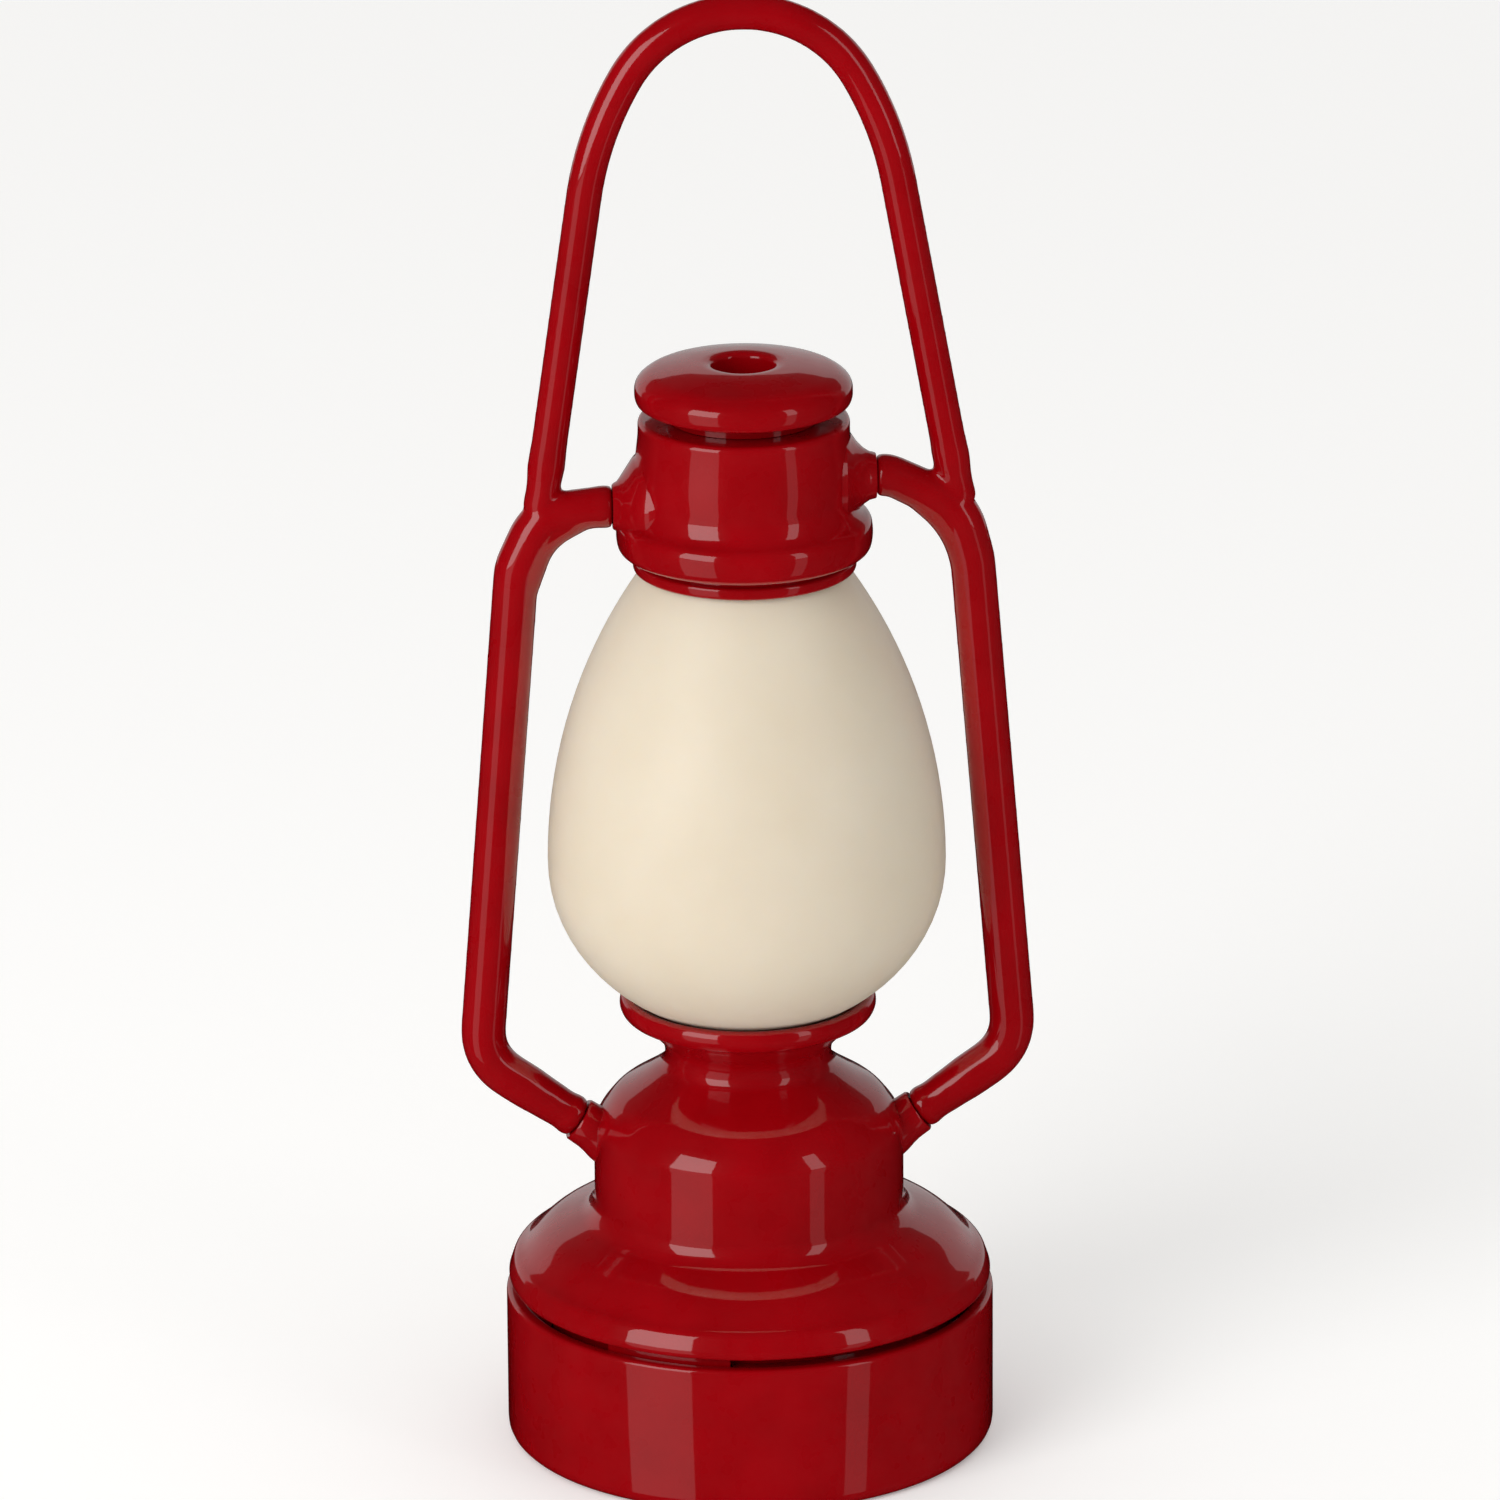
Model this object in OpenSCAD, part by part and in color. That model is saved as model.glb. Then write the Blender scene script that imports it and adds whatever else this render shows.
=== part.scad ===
// A doll-scale lantern in the shape of a hurricane oil lamp, lit by a battery LED.
// Painted zinc castings hold a frosted globe. The base cup turns to switch the light.
// Origin: centre of the standing face. +Z is up, +X runs to the right arm, -Y is the front.

/* [Base cup] */
// Outer diameter of the base cup
cup_d = 26.2; // [24:0.2:31.4]
// Height of the base cup
cup_h = 8.2; // [7.8:0.1:9.4]
// Thickness of the cup's side wall
cup_wall = 0.75; // [0.6:0.05:0.9]
// Width of the ring that the cup stands on
foot_ring = 2.1; // [1.8:0.1:2.4]
// Radius rolled round the cup's bottom edge
cup_edge_r = 0.7; // [0.3:0.1:0.8]
// Open gap between the cup and the dome above it
seam_gap = 0.5; // [0.4:0.05:0.8]

/* [Fount] */
// Step in from the cup's side to the dome's side
dome_inset = 0.12; // [0:0.02:0.3]
// Height of the dome
dome_h = 3.9; // [3.5:0.1:4.6]
// How far the dome's curve bulges from a straight slope
dome_bulge = 0.5; // [0.2:0.05:0.8]
// Outer diameter of the drum
drum_d = 16.6; // [15.6:0.1:19.8]
// Height of the drum
drum_h = 5.0; // [4.6:0.1:6]
// Height of the sloping shoulder above the drum
shoulder_h = 3.0; // [2.6:0.1:3.6]
// How far the shoulder's curve bulges from a straight slope
shoulder_bulge = 0.35; // [0.3:0.05:0.7]
// Outer diameter of the neck
neck_d = 8.9; // [8.2:0.1:10.4]
// Height of the neck
neck_h = 1.4; // [1.2:0.1:1.8]
// Height of the flared collar under the globe
collar_h = 2.9; // [2.6:0.1:3.4]
// Thickness of the collar's rim outside the globe
collar_rim = 0.6; // [0.5:0.05:0.8]
// Wall thickness of the zinc castings
cast_wall = 1.0; // [0.8:0.1:1.1]

/* [Globe] */
// Largest diameter of the globe
globe_d = 21.2; // [18:0.2:25.4]
// Height of the globe between its two mouths
globe_h = 25.9; // [21.6:0.1:31]
// Height of its widest place above the lower mouth
belly_h = 8.3; // [7:0.1:9.9]
// Wall thickness of the globe
globe_wall = 0.8; // [0.6:0.1:1]
// Diameter of the globe's lower mouth
globe_foot_d = 9.2; // [8.6:0.1:10.2]
// Diameter of the globe's upper mouth
globe_mouth_d = 8.8; // [7.6:0.1:9.6]
// How far the lower mouth sits below the collar's rim
seat_depth = 0.8; // [0.6:0.1:1]

/* [Hood and cap] */
// Outer diameter of the hood's cylinder
hood_d = 11.6; // [11:0.1:13.9]
// Height of the hood
hood_h = 8.3; // [7.5:0.1:10.3]
// Thickness of the hood's lower lip outside the globe
hood_lip = 0.5; // [0.4:0.05:0.7]
// How far the hood's ring stands out beyond its lip
hood_ring = 0.9; // [0.6:0.1:1.3]
// How far the globe's top runs up into the hood
hood_overlap = 1.3; // [1.1:0.1:2]
// Diameter of the cap
cap_d = 11.5; // [10.4:0.1:13.8]
// Thickness of the cap above its groove
cap_h = 2.2; // [2.1:0.1:2.8]
// Height of the groove between the hood and the cap
cap_groove_h = 0.8; // [0.4:0.05:1]
// Diameter of the blind hole in the cap
cap_hole_d = 3.3; // [2.8:0.1:4]
// Depth of the blind hole in the cap
cap_hole_depth = 1.8; // [1.5:0.1:2]

/* [Carrying frame] */
// Thickness of the arch handle
arch_wire_d = 1.9; // [1.6:0.1:2.3]
// Thickness of the side arms
arm_wire_d = 2.4; // [2.2:0.1:2.9]
// Height of the arch's top above its feet
arch_rise = 26.05; // [21.7:0.05:31.3]
// Lean of the arch's left leg from upright, in degrees
arch_lean = 8.3; // [6:0.1:11]
// Lean of the arch's right leg from upright, in degrees
right_arch_lean = 10.2; // [6:0.1:11]
// Radius of the arch's crown
crown_r = 7.0; // [5.9:0.1:8.4]
// Radius of the bends between the crown and the legs
haunch_r = 18; // [15:0.5:22]
// Height of the arch's feet above the hood's lower lip
feet_rise = 4.3; // [3.9:0.1:5.2]
// Gap between the globe's widest place and each side arm
arm_gap = 1.6; // [1.2:0.1:2.4]
// Lean of the side arms from upright, in degrees
arm_lean = 4.65; // [3.5:0.05:5.5]
// Slope of the lower ends of the arms below level, in degrees
arm_end_slope = 35; // [30:1:40]
// Radius of the bend at the bottom of each arm
elbow_r = 3.2; // [2.6:0.1:3.8]
// Height of the left socket on the hood above the hood's lower lip
left_socket_rise = 3.5; // [3.4:0.1:5.4]
// Height of the right socket on the hood above the hood's lower lip
right_socket_rise = 4.9; // [3.4:0.1:5.8]
// Diameter of the sockets that hold the frame's ends
socket_d = 3.0; // [2.8:0.1:3.3]
// Diameter of the pegs on the frame's ends
peg_d = 1.2; // [1:0.1:1.4]
// Length of the pegs on the frame's ends
peg_len = 1.1; // [0.9:0.1:1.2]

/* [Twist switch] */
// Angle the cup turns from off to on
twist_angle = 30; // [20:1:36]
// Width of each stop lug, in degrees
lug_width = 33; // [28:1:36]
// Width of the retaining ring's band
ring_band = 0.9; // [0.7:0.05:1]

/* [Cells and board] */
// Diameter of one button cell
cell_d = 7.9; // [6.6:0.1:8.3]
// Height of one button cell
cell_h = 3.6; // [3:0.1:3.7]
// Wall of the tube that holds the cells
tube_wall = 0.75; // [0.6:0.05:0.9]
// Diameter of the LED's lens
led_d = 3.0; // [2.5:0.1:3.4]
// Thickness of the circuit board
board_t = 1.0; // [0.8:0.1:1.2]
// Gap between running parts
run_gap = 0.1; // [0.06:0.01:0.14]
// Gap between fitted parts that don't move
fit_gap = 0.03; // [0.02:0.01:0.05]

/* [Hidden] */
$fn = 96;

// Colours
lacquer_red = [0.56, 0.01, 0.03];
frosted_cream = [0.86, 0.80, 0.68];
white_plastic = [0.92, 0.92, 0.90];
clear_resin = [0.95, 0.93, 0.85];
board_green = [0.10, 0.35, 0.18];
copper = [0.78, 0.45, 0.28];
brass = [0.80, 0.65, 0.30];
nickel_steel = [0.75, 0.75, 0.76];
tin_grey = [0.65, 0.66, 0.68];
foam_black = [0.08, 0.08, 0.08];

// Heights up the lantern's axis
dome_z = cup_h + seam_gap;
drum_z = dome_z + dome_h;
shoulder_z = drum_z + drum_h;
neck_z = shoulder_z + shoulder_h;
collar_z = neck_z + neck_h;
rim_z = collar_z + collar_h;
globe_z = rim_z - seat_depth;
belly_z = globe_z + belly_h;
globe_top_z = globe_z + globe_h;
hood_z = globe_top_z - hood_overlap;
hood_top_z = hood_z + hood_h;
cap_z = hood_top_z + cap_groove_h;
cap_top_z = cap_z + cap_h;
feet_z = hood_z + feet_rise;
crown_z = feet_z + arch_rise;

// The globe's outline: an elliptical bowl below the belly, one long arc above it
globe_r = globe_d / 2;
bowl_depth = belly_h / sqrt(1 - pow(globe_foot_d / globe_d, 2));
mouth_step = globe_r - globe_mouth_d / 2;
side_arc_r = (pow(globe_h - belly_h, 2) + pow(mouth_step, 2)) / (2 * mouth_step);
outline_steps = 14;
function globe_radius(z) = z < belly_z
    ? globe_r * sqrt(1 - pow((belly_z - z) / bowl_depth, 2))
    : globe_r - side_arc_r + sqrt(pow(side_arc_r, 2) - pow(z - belly_z, 2));
function globe_outline(low_z, high_z, grow) = [
    for (i = [0 : outline_steps])
        let (z = low_z + (high_z - low_z) * i / outline_steps)
            [globe_radius(min(max(z, globe_z), globe_top_z)) + grow, z]
];

// Radii shared by parts that fit together
cup_r = cup_d / 2;
cup_bore_r = cup_r - cup_wall;
lug_r = cup_bore_r - run_gap;
lug_depth = 0.9;
skirt_r = lug_r - lug_depth;
skirt_wall = cast_wall;
drum_r = drum_d / 2;
drum_bore_r = drum_r - cast_wall;
neck_r = neck_d / 2;
neck_bore_r = neck_r - cast_wall;
foot_r = globe_foot_d / 2;
rim_r = globe_radius(rim_z) + fit_gap + collar_rim;
hood_r = hood_d / 2;
lip_r = globe_radius(hood_z) + fit_gap + hood_lip;
hood_ring_r = lip_r + hood_ring;
cap_r = cap_d / 2;
cell_r = cell_d / 2;
tube_bore_r = cell_r + run_gap;
tube_r = tube_bore_r + tube_wall;

// Castings: their corners, and the steps and curves of the cap, the hood and the fount
edge = 0.2;
rim_edge = 0.35;
cap_neck_r = cap_r - 1.7;
cap_side_h = 1.1;
cap_crown_rise = 0.45;
cap_hole_lip = 0.6;
cap_spigot_r = 2.6;
hood_bore_r = globe_radius(globe_top_z) - 0.2;
hood_lip_h = 0.8;
hood_waist_r = lip_r - 0.1;
hood_cone_z = hood_z + 2.3;
hood_barrel_z = hood_z + 3.1;
ring_bead_r = 1.0;
ring_bead_rise = 1.9;
dome_r = cup_r - dome_inset;
drum_flare = 0.25;
neck_flare = 0.75;
collar_bowl_r = rim_r - 0.9;
collar_bowl_z = rim_z - 1.35;
collar_side_z = rim_z - 0.8;

// The twist joint: angles run from +X towards +Y
lug_start = 229;
lug_count = 3;
stop_slack = 0.3;
block_width = 360 / lug_count - lug_width - twist_angle - 2 * stop_slack;
block_start = lug_start + lug_width + stop_slack;
ring_h = 0.45;
skirt_z = 4.6;
ring_z = skirt_z + 0.7;
ring_seat = 0.4;
block_z = ring_z + ring_h + run_gap;
block_top_z = cup_h - 0.2;
lug_z = block_top_z - 0.7;
ring_split = 14;

// The base: cover, carrier and cells from the bottom up
floor_h = 1.3;
cover_z = 0.3;
cover_t = 0.9;
cover_top_z = cover_z + cover_t;
cover_bore_r = cup_r - foot_ring;
cover_r = cover_bore_r - run_gap;
tongue_len = 0.7;
tongue_w = 3;
tongue_t = 0.5;
pad_t = 0.3;
pad_r = 3.2;
strip_t = 0.2;
strip_w = 1.6;
strip_z = cover_top_z + pad_t;
carrier_z = cover_top_z + 0.55;
carrier_t = 0.9;
carrier_r = cover_bore_r - 0.3;
cells_z = strip_z + strip_t + fit_gap;
cells_top_z = cells_z + 3 * cell_h;
carrier_lip = 0.5;
carrier_foot_at = 7.2;
carrier_foot_angles = [40, 140, 240, 300];
carrier_top_z = cells_top_z + run_gap + carrier_lip;
pillar_r = 1.2;
pillar_at = cover_bore_r - 0.9;
pillar_h = skirt_z - 0.4 - carrier_z - carrier_t;
pillar_angles = [30, 150, 270];
screw_r = 0.45;
screw_head_r = 0.85;
screw_head_h = 0.35;
screw_bite = 1.2;
cover_screw_at = 7.2;
cover_screw_r = 0.5;
cover_head_r = 1.0;
cover_sink = 0.5;
tongue_angles = [70, 110];
cover_boss_h = 2.0;

// The light: board under the shoulder, LED in the collar
track_t = 0.1;
finger_gap = 0.06;
spring_wire = 0.35;
spring_r = 2.3;
spring_turns = 3.5;
spring_len = 2.4;
board_z = cells_top_z + run_gap + spring_len + track_t;
board_top_z = board_z + board_t;
board_r = drum_bore_r - 0.25;
board_screw_at = 5.7;
board_screw_r = 0.35;
board_boss_r = 0.95;
board_boss_top = shoulder_z + 0.5;
track_r = tube_r - 0.45;
track_w = 1.0;
lead_pitch = 2.54;
lead_w = 0.45;
holder_z = collar_z + 1.1;
holder_stem = 1.6;
led_z = globe_z - 0.1;
led_h = 4.6;

// The carrying frame's shape in the XZ plane, for the right side
crown_half_turn = 60;
crown_centre = [0, crown_z - crown_r];
haunch_dir = [sin(crown_half_turn), cos(crown_half_turn)];
haunch_centre = crown_centre + (crown_r - haunch_r) * haunch_dir;
function leg_top(lean) = haunch_centre + haunch_r * [cos(lean), sin(lean)];
function leg_foot(lean) =
    let (top = leg_top(lean)) [top.x + (top.y - feet_z) * tan(lean), feet_z];
leg_sink = 1.0;
bend_lap = 0.05;
bend_swell = 0.02;
bead_len = 1.0;
bead_cover = 0.7;
bead_swell = 0.35;
leg_inset = 0.1;
stub_drop = 1.2;
arm_corner_drop = 4.1;
top_corner_r = 1.9;
arm_corner_r = 4;
arm_r = arm_wire_d / 2;
arm_x = globe_r + arm_gap + arm_r;
arm_corner_z = feet_z - arm_corner_drop;
arm_corner = [arm_x - (arm_corner_z - belly_z) * tan(arm_lean), arm_corner_z];
socket_reach = 1.3;
ring_clearance = 0.15;
hood_socket_x = max(hood_r, hood_ring_r) + ring_clearance;
fount_socket = [drum_r + 0.85, shoulder_z + 0.2];
arm_end_dir = [cos(arm_end_slope), sin(arm_end_slope)];
peg_play = 0.1;
elbow_run = (arm_x - fount_socket.x + (belly_z - fount_socket.y) * tan(arm_lean))
    / (1 + tan(arm_end_slope) * tan(arm_lean));
elbow_corner = fount_socket + elbow_run * [1, tan(arm_end_slope)];

// Circular arc between two points of an outline, bulging to the right of the line
function bulged(p, q, rise, steps) =
    let (half = norm(q - p) / 2,
         r = (half * half + rise * rise) / (2 * rise),
         along = (q - p) / norm(q - p),
         right = [along.y, -along.x],
         centre = (p + q) / 2 + right * (rise - r),
         half_turn = asin(half / r))
    [for (i = [0 : steps])
        let (a = half_turn * (2 * i / steps - 1))
            centre + r * (sin(a) * along + cos(a) * right)];

// Ring of rectangular section
module band(inner_r, outer_r, low_z, high_z) {
    translate([0, 0, low_z]) difference() {
        cylinder(r = outer_r, h = high_z - low_z);
        translate([0, 0, -1]) cylinder(r = inner_r, h = high_z - low_z + 2);
    }
}

// Part of such a ring, from one angle round to another
module band_arc(inner_r, outer_r, low_z, high_z, start, sweep) {
    translate([0, 0, low_z]) rotate([0, 0, start])
        rotate_extrude(angle = sweep)
            translate([inner_r, 0]) square([outer_r - inner_r, high_z - low_z]);
}

// Straight rod between two points of the XZ plane
module rod(p, q, d) {
    translate([p.x, 0, p.y])
        rotate([0, atan2(q.x - p.x, q.y - p.y), 0])
            cylinder(d = d, h = norm(q - p));
}

// Curved rod in the XZ plane, between two angles about a centre
module bend(centre, r, start, end, d) {
    translate([centre.x, 0, centre.y]) rotate([90, 0, 0]) rotate([0, 0, start])
        rotate_extrude(angle = end - start) translate([r, 0]) circle(d = d);
}

// Wire through corner points of the XZ plane. Its bends are a hair thicker than its
// straights, which run a little way into them, so that all of it is one solid.
module wire(points, radii, d) {
    last = len(points) - 1;
    dirs = [for (i = [0 : last - 1]) (points[i + 1] - points[i]) / norm(points[i + 1] - points[i])];
    turns = [for (i = [0 : last]) i == 0 || i == last ? 0 : acos(dirs[i - 1] * dirs[i])];
    cuts = [for (i = [0 : last]) max(0, radii[i] * tan(turns[i] / 2) - (turns[i] > 0 ? bend_lap : 0))];
    for (i = [0 : last - 1])
        rod(points[i] + dirs[i] * cuts[i], points[i + 1] - dirs[i] * cuts[i + 1], d);
    for (i = [1 : last - 1]) {
        inward = (dirs[i] - dirs[i - 1]) / norm(dirs[i] - dirs[i - 1]);
        centre = points[i] + inward * radii[i] / cos(turns[i] / 2);
        middle = atan2(-inward.y, -inward.x);
        bend(centre, radii[i], middle - turns[i] / 2, middle + turns[i] / 2, d + bend_swell);
    }
}

function mirrored(points) = [for (p = points) [-p.x, p.y]];

// Peg on a wire's end, reaching on past the point p along the direction away from q
module peg(p, q) {
    along = (p - q) / norm(p - q);
    rod(p - along * 0.5, p + along * peg_len, peg_d);
}

// Machine screw with its head down, at a height, pointing up
module screw(shank_r, length, head_r, head_h) {
    cylinder(r = shank_r, h = length);
    translate([0, 0, -head_h]) difference() {
        cylinder(r = head_r, h = head_h);
        for (turn = [0, 90]) rotate([0, 0, turn])
            translate([-head_r * 0.6, -0.09, -1]) cube([head_r * 1.2, 0.18, 1 + head_h / 2]);
    }
}

// ---- Hood and cap ----

module cap() {
    lip_hole_r = cap_hole_d / 2 + cap_hole_lip;
    color(lacquer_red) difference() {
        union() {
            rotate_extrude() polygon(concat(
                [[0, hood_top_z + fit_gap], [cap_neck_r, hood_top_z + fit_gap],
                 [cap_neck_r, cap_z], [cap_r - edge, cap_z], [cap_r, cap_z + edge]],
                bulged([cap_r, cap_z + cap_side_h], [lip_hole_r + edge, cap_top_z - edge / 2],
                    cap_crown_rise, 8),
                [[lip_hole_r, cap_top_z], [0, cap_top_z]]));
            translate([0, 0, hood_top_z - cast_wall])
                cylinder(r = cap_spigot_r, h = cast_wall + cap_groove_h);
        }
        translate([0, 0, cap_top_z - cap_hole_depth]) cylinder(d = cap_hole_d, h = cap_hole_depth + 1);
    }
}
module hood_sockets() {
    for (side = [[-1, left_socket_rise], [1, right_socket_rise]])
        translate([side[0] * (hood_r - cast_wall / 2), 0, hood_z + side[1]])
            rotate([0, side[0] * 90, 0])
                cylinder(d = socket_d, h = hood_socket_x - hood_r + cast_wall / 2);
}

module hood() {
    color(lacquer_red) difference() {
        union() {
            rotate_extrude() difference() {
                union() {
                    polygon([
                        [0, hood_z], [lip_r - edge, hood_z], [lip_r, hood_z + edge],
                        [lip_r, hood_z + hood_lip_h - edge], [hood_waist_r, hood_z + hood_lip_h],
                        [hood_waist_r, hood_cone_z], [hood_r, hood_barrel_z],
                        [hood_r, hood_top_z - edge], [hood_r - edge, hood_top_z], [0, hood_top_z]]);
                    translate([hood_ring_r - ring_bead_r, hood_z + ring_bead_rise])
                        circle(r = ring_bead_r);
                }
                polygon(concat([[0, hood_z - 1]], globe_outline(hood_z - 1, globe_top_z + 0.1, fit_gap),
                    [[0, globe_top_z + 0.1]]));
                translate([0, globe_top_z]) square([hood_bore_r, hood_top_z - cast_wall - globe_top_z]);
            }
            hood_sockets();
        }
        translate([0, 0, hood_top_z - cast_wall - 1])
            cylinder(r = cap_spigot_r + fit_gap, h = cast_wall + 2);
        for (side = [[-1, left_socket_rise], [1, right_socket_rise]]) {
            end = [side[0] * hood_socket_x, hood_z + side[1]];
            rod(end + [side[0], 0], end - [side[0] * (peg_len + peg_play), 0], peg_d + 2 * fit_gap);
        }
    }
}

// ---- Globe ----

module globe() {
    color(frosted_cream) rotate_extrude() difference() {
        polygon(concat([[0, globe_z]], globe_outline(globe_z, belly_z, 0),
            globe_outline(belly_z, globe_top_z, 0), [[0, globe_top_z]]));
        polygon(concat([[0, globe_z - 1]], globe_outline(globe_z - 1, belly_z, -globe_wall),
            globe_outline(belly_z, globe_top_z + 1, -globe_wall), [[0, globe_top_z + 1]]));
    }
}

// ---- Carrying frame ----

module side_wire(side, socket_rise, lean) {
    top_corner = leg_foot(lean) + [leg_inset, -stub_drop];
    face = [side * (hood_socket_x + fit_gap), hood_z + socket_rise];
    points = [[hood_socket_x + fit_gap + bead_cover, hood_z + socket_rise], top_corner, arm_corner,
        elbow_corner, fount_socket + fit_gap * arm_end_dir];
    set = side > 0 ? points : mirrored(points);
    wire(set, [0, top_corner_r, arm_corner_r, elbow_r, 0], arm_wire_d);
    rod(face, face + [side * bead_len, 0], arm_wire_d + bead_swell);
    peg(face, face + [side, 0]);
    peg(set[4], set[3]);
}

module arch() {
    lap_turn = 1;
    half_turn = crown_half_turn + lap_turn;
    bend(crown_centre, crown_r, 90 - half_turn, 90 + half_turn, arch_wire_d);
    for (side = [0, 1]) {
        lean = side == 0 ? right_arch_lean : arch_lean;
        down = [sin(lean), -cos(lean)];
        mirror([side, 0, 0]) {
            bend(haunch_centre, haunch_r, lean, 90 - crown_half_turn, arch_wire_d + bend_swell);
            rod(leg_top(lean) - bend_lap * down, leg_foot(lean) + leg_sink * down, arch_wire_d);
        }
    }
}

module carrying_frame() {
    color(lacquer_red) {
        arch();
        side_wire(-1, left_socket_rise, arch_lean);
        side_wire(1, right_socket_rise, right_arch_lean);
    }
}

// ---- Fount ----

module fount_outline() {
    polygon(concat(
        [[0, skirt_z], [skirt_r - edge, skirt_z], [skirt_r, skirt_z + edge], [skirt_r, dome_z],
         [dome_r - edge, dome_z], [dome_r, dome_z + edge]],
        bulged([dome_r, dome_z + rim_edge], [drum_r + drum_flare, drum_z - edge / 2], dome_bulge, 10),
        [[drum_r, drum_z + edge], [drum_r, shoulder_z - 2 * edge], [drum_r - edge, shoulder_z]],
        bulged([drum_r - edge, shoulder_z + edge / 2], [neck_r + neck_flare, neck_z - edge],
            shoulder_bulge, 10),
        [[neck_r + edge, neck_z + edge], [neck_r, neck_z + 2 * edge], [neck_r, collar_z],
         [neck_r + neck_flare, collar_z + neck_flare], [collar_bowl_r, collar_bowl_z],
         [rim_r - rim_edge, collar_bowl_z + edge], [rim_r, collar_side_z], [rim_r, rim_z - rim_edge],
         [rim_r - rim_edge / 2, rim_z - rim_edge / 4], [rim_r - rim_edge, rim_z], [0, rim_z]]));
}

module fount_hollow() {
    bore_r = skirt_r - skirt_wall;
    polygon([
        [0, skirt_z - 1], [bore_r, skirt_z - 1], [bore_r, dome_z + 0.3],
        [drum_bore_r, drum_z - 0.9], [drum_bore_r, shoulder_z - 0.8],
        [neck_bore_r, neck_z - 0.7], [neck_bore_r, holder_z + 0.1], [0, holder_z + 0.1]]);
    translate([0, holder_z]) square([foot_r + fit_gap, globe_z - holder_z + 0.05]);
    polygon(concat([[0, globe_z]], globe_outline(globe_z, rim_z + 0.5, fit_gap), [[0, rim_z + 0.5]]));
}

module fount() {
    color(lacquer_red) difference() {
        union() {
            rotate_extrude() difference() {
                fount_outline();
                fount_hollow();
                translate([skirt_r - ring_seat, ring_z - fit_gap]) square([1, ring_h + 2 * fit_gap]);
            }
            for (i = [0 : lug_count - 1])
                band_arc(skirt_r - 0.2, lug_r, lug_z, dome_z + 0.1,
                    lug_start + i * 360 / lug_count, lug_width);
            for (side = [-1, 1]) {
                inner = fount_socket - socket_reach * [1, tan(arm_end_slope)];
                rod([side * inner.x, inner.y], [side * fount_socket.x, fount_socket.y], socket_d);
                translate([side * board_screw_at, 0, board_top_z])
                    cylinder(r = board_boss_r, h = board_boss_top - board_top_z);
            }
        }
        for (side = [-1, 1]) {
            bottom = fount_socket - (peg_len + peg_play) * arm_end_dir;
            top = fount_socket + arm_end_dir;
            rod([side * bottom.x, bottom.y], [side * top.x, top.y], peg_d + 2 * fit_gap);
            translate([side * board_screw_at, 0, board_z])
                cylinder(r = board_screw_r + fit_gap, h = board_boss_top - board_z - cast_wall / 2);
        }
    }
}

module retaining_ring() {
    color(nickel_steel)
        band_arc(skirt_r - ring_seat + fit_gap, skirt_r - ring_seat + ring_band,
            ring_z, ring_z + ring_h, 90 + ring_split / 2, 360 - ring_split);
}

// ---- Light ----

module led() {
    color(clear_resin) translate([0, 0, led_z]) rotate_extrude() difference() {
        union() {
            square([led_d / 2 + 0.4, 0.8]);
            square([led_d / 2, led_h - led_d / 2]);
            translate([0, led_h - led_d / 2]) circle(d = led_d);
        }
        translate([-led_d, -1]) square([led_d, led_h + 2]);
    }
}

module leads(grow) {
    for (side = [-1, 1])
        translate([side * lead_pitch / 2 - lead_w / 2 - grow, -lead_w / 2 - grow, board_z - 0.3])
            cube([lead_w + 2 * grow, lead_w + 2 * grow, led_z - board_z + 0.3]);
}

module led_leads() {
    color(tin_grey) leads(0);
}

module led_holder() {
    color(white_plastic) difference() {
        union() {
            translate([0, 0, holder_z]) cylinder(r = foot_r - fit_gap, h = led_z - holder_z);
            translate([0, 0, holder_z - holder_stem])
                cylinder(r = neck_bore_r - fit_gap, h = holder_stem + 0.1);
        }
        leads(fit_gap);
    }
}

module circuit_board() {
    color(board_green) difference() {
        translate([0, 0, board_z]) cylinder(r = board_r, h = board_t);
        leads(fit_gap);
        for (side = [-1, 1]) translate([side * board_screw_at, 0, board_z - 1])
            cylinder(r = board_screw_r + fit_gap, h = board_t + 2);
    }
}

module contact_track() {
    color(copper) band_arc(track_r - track_w / 2, track_r + track_w / 2,
        board_z - track_t, board_z, 90 + twist_angle * 0.6, 40);
}

module resistor() {
    color(foam_black) translate([-1, 3.2, board_top_z]) cube([2, 1.2, 0.5]);
}

module board_screws() {
    color(nickel_steel) for (side = [-1, 1])
        translate([side * board_screw_at, 0, board_z])
            screw(board_screw_r, board_t + screw_bite, 0.75, 0.4);
}

// Coil that presses on the top cell: a wire swept round a helix
module anode_spring() {
    sides = 8;
    steps = round(spring_turns * 16);
    wire_r = spring_wire / 2;
    height = spring_len - spring_wire;
    base_z = cells_top_z + run_gap + wire_r;
    rings = [for (i = [0 : steps]) let (a = 360 * spring_turns * i / steps)
        for (k = [0 : sides - 1]) let (b = 360 * k / sides, r = spring_r + wire_r * cos(b))
            [r * cos(a), r * sin(a), base_z + height * i / steps + wire_r * sin(b)]];
    walls = [for (i = [0 : steps - 1], k = [0 : sides - 1])
        let (n = (k + 1) % sides)
            [i * sides + k, i * sides + n, (i + 1) * sides + n, (i + 1) * sides + k]];
    ends = [[for (k = [sides - 1 : -1 : 0]) k], [for (k = [0 : sides - 1]) steps * sides + k]];
    color(brass) polyhedron(points = rings, faces = concat(walls, ends), convexity = 6);
}

module solder_joints() {
    color(tin_grey) difference() {
        for (side = [-1, 1]) translate([side * lead_pitch / 2, 0, board_z - 0.45])
            cylinder(r1 = 0.35, r2 = 0.6, h = 0.45);
        leads(0);
    }
}

// ---- Base ----

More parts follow.
